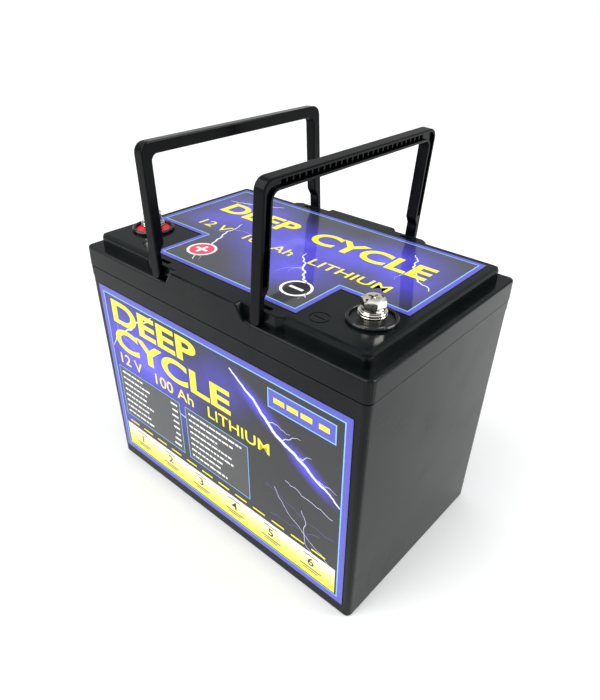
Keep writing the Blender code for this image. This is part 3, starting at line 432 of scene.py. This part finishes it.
for k in range(DASHES):
    sheet.rect("yellow", S0 + 12 + k * DASH_PITCH, 43.4, S0 + 24 + k * DASH_PITCH, 44.8, 3)
STRIP_LOW, STRIP_HIGH, BANDS = T0 + 6.5, 40.0, 14
for k in range(BANDS):
    t = STRIP_LOW + (STRIP_HIGH - STRIP_LOW) * k / BANDS
    key = f"strip_{k:02d}"
    share = k / (BANDS - 1)
    INK[key] = ink(f"ink_{key}", (0.90 * (1 - share) + 0.93 * share, 0.82 * (1 - share) + 0.92 * share,
                                  0.03 * (1 - share) ** 2 + 0.84 * share ** 1.6))
    sheet.rect(key, S0 + 7, t, S1 - 7, t + (STRIP_HIGH - STRIP_LOW) / BANDS, 2)
NOTES, NOTE_PITCH = 6, 37.5
for k in range(NOTES):
    s = S0 + 14 + k * NOTE_PITCH
    sheet.rect("panel", s + 6, 36.0, s + 19, 36.9, 4)
    sheet.text("black", str(k + 1), s + 12.5, 27.0, 7.2, 4, 1.15, "CENTER", 0.01)
    sheet.rect("panel", s + 3, 23.6, s + 22, 24.6, 4)
    sheet.rect("panel", s + 6, 21.4, s + 19, 22.3, 4)
sheet.make()

# ---- Top label -----------------------------------------------------------------------------------
low_top, high_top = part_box("top_label")
NOTCH = (64.6, -26.4)


def top_surface(s, t, lift):
    return Vector((s * MM, t * MM, high_top.z + lift * MM))


LEFT, NEAR, RIGHT, FAR = low_top.x / MM, low_top.y / MM, high_top.x / MM, high_top.y / MM
sheet = Print("top_print", top_surface)
edge = [(-NOTCH[0], NEAR), (NOTCH[0], NEAR), (NOTCH[0], NOTCH[1]), (RIGHT, NOTCH[1]), (RIGHT, FAR),
        (LEFT, FAR), (LEFT, NOTCH[1]), (-NOTCH[0], NOTCH[1])]
border(sheet, edge, 3.4, 4.2)
strike(sheet, 41, (-58, 8), (-36, -60), 8, 0.7, 3)
strike(sheet, 44, (14, 0), (56, -50), 9, 0.8, 4)
strike(sheet, 47, (-104, 40), (-60, 58), 7, 0.6, 2)
strike(sheet, 51, (70, 50), (106, 8), 8, 0.7, 3)
sheet.text("yellow", "DEEP  CYCLE", 0, 19, 19, 4, 1.2, "CENTER", 0.03)
sheet.text("yellow", "12 V   100 Ah   LITHIUM", 0, -12, 9.5, 4, 1.25, "CENTER", 0.008)
for side, fill in ((-1, "red"), (1, "black")):
    s, t = side * 44.0, -44.6
    sheet.fill("white", circle(s, t, 10.7), 2)
    sheet.fill(fill, circle(s, t, 8.9), 3)
    sheet.rect("white", s - 5.4, t - 1.15, s + 5.4, t + 1.15, 4)
    if side < 0:
        sheet.rect("white", s - 1.15, t - 5.4, s + 1.15, t + 5.4, 5)
sheet.make()

# ---- Stage, light and camera ---------------------------------------------------------------------
bpy.ops.mesh.primitive_circle_add(vertices=96, radius=40, fill_type="NGON", location=(0, 0, -FLOOR_DROP))
floor = bpy.context.object
floor.name = "floor"
floor.data.materials.append(new_material("pale_floor", (0.86, 0.86, 0.86), 0.7)[0])

world = bpy.data.worlds.new("studio")
bpy.context.scene.world = world
world.use_nodes = True
tree = world.node_tree
background = tree.nodes["Background"]
where = node(tree, "ShaderNodeTexCoord")
split = node(tree, "ShaderNodeSeparateXYZ")
tree.links.new(where.outputs["Generated"], split.inputs[0])
tree.links.new(tones(tree, split.outputs["Z"], (0.0, (0.90, 0.90, 0.90)), (0.30, (0.36, 0.365, 0.37)),
                     (0.56, (0.74, 0.76, 0.77)), (0.95, (0.8, 0.8, 0.8))), background.inputs["Color"])
background.inputs["Strength"].default_value = 1.05


def soft_light(name, place, target, size, watts):
    lamp = bpy.data.lights.new(name, "AREA")
    lamp.shape, lamp.size, lamp.size_y, lamp.energy = "RECTANGLE", size[0], size[1], watts
    made = bpy.data.objects.new(name, lamp)
    bpy.context.scene.collection.objects.link(made)
    made.location = place
    made.rotation_euler = (Vector(target) - Vector(place)).to_track_quat("-Z", "Y").to_euler()


soft_light("overhead", (0.1, 0.0, 2.0), (0, 0, 0), (1.6, 1.6), 4)
soft_light("right_side", (1.1, 0.9, 1.3), (0.35, 0.3, 0), (0.8, 0.8), 17)
key = bpy.data.lights.new("key", "SUN")
key.energy, key.angle = 2.6, math.radians(55)
key_object = bpy.data.objects.new("key", key)
bpy.context.scene.collection.objects.link(key_object)
key_object.rotation_euler = Vector((0.42, 0.68, -0.6)).to_track_quat("-Z", "Y").to_euler()

lens = bpy.data.cameras.new("camera")
lens.sensor_width, lens.lens = 36.0, 31.8377
lens.shift_x, lens.shift_y = 0.01453, -0.02664
lens.clip_start, lens.clip_end = 0.01, 200
camera = bpy.data.objects.new("camera", lens)
bpy.context.scene.collection.objects.link(camera)
CAM_RIGHT, CAM_UP = (0.74336, 0.668758, 0.0134), (-0.350282, 0.372134, 0.859545)
CAM_AHEAD, CAM_PLACE = (-0.569841, 0.643645, -0.510884), (0.26817, -0.30329, 0.38154)
right, up, back = Vector(CAM_RIGHT), Vector(CAM_UP), -Vector(CAM_AHEAD)
camera.matrix_world = Matrix.Translation(CAM_PLACE) @ Matrix((right, up, back)).transposed().to_4x4()
bpy.context.scene.camera = camera
bpy.context.scene.view_settings.view_transform = "Standard"
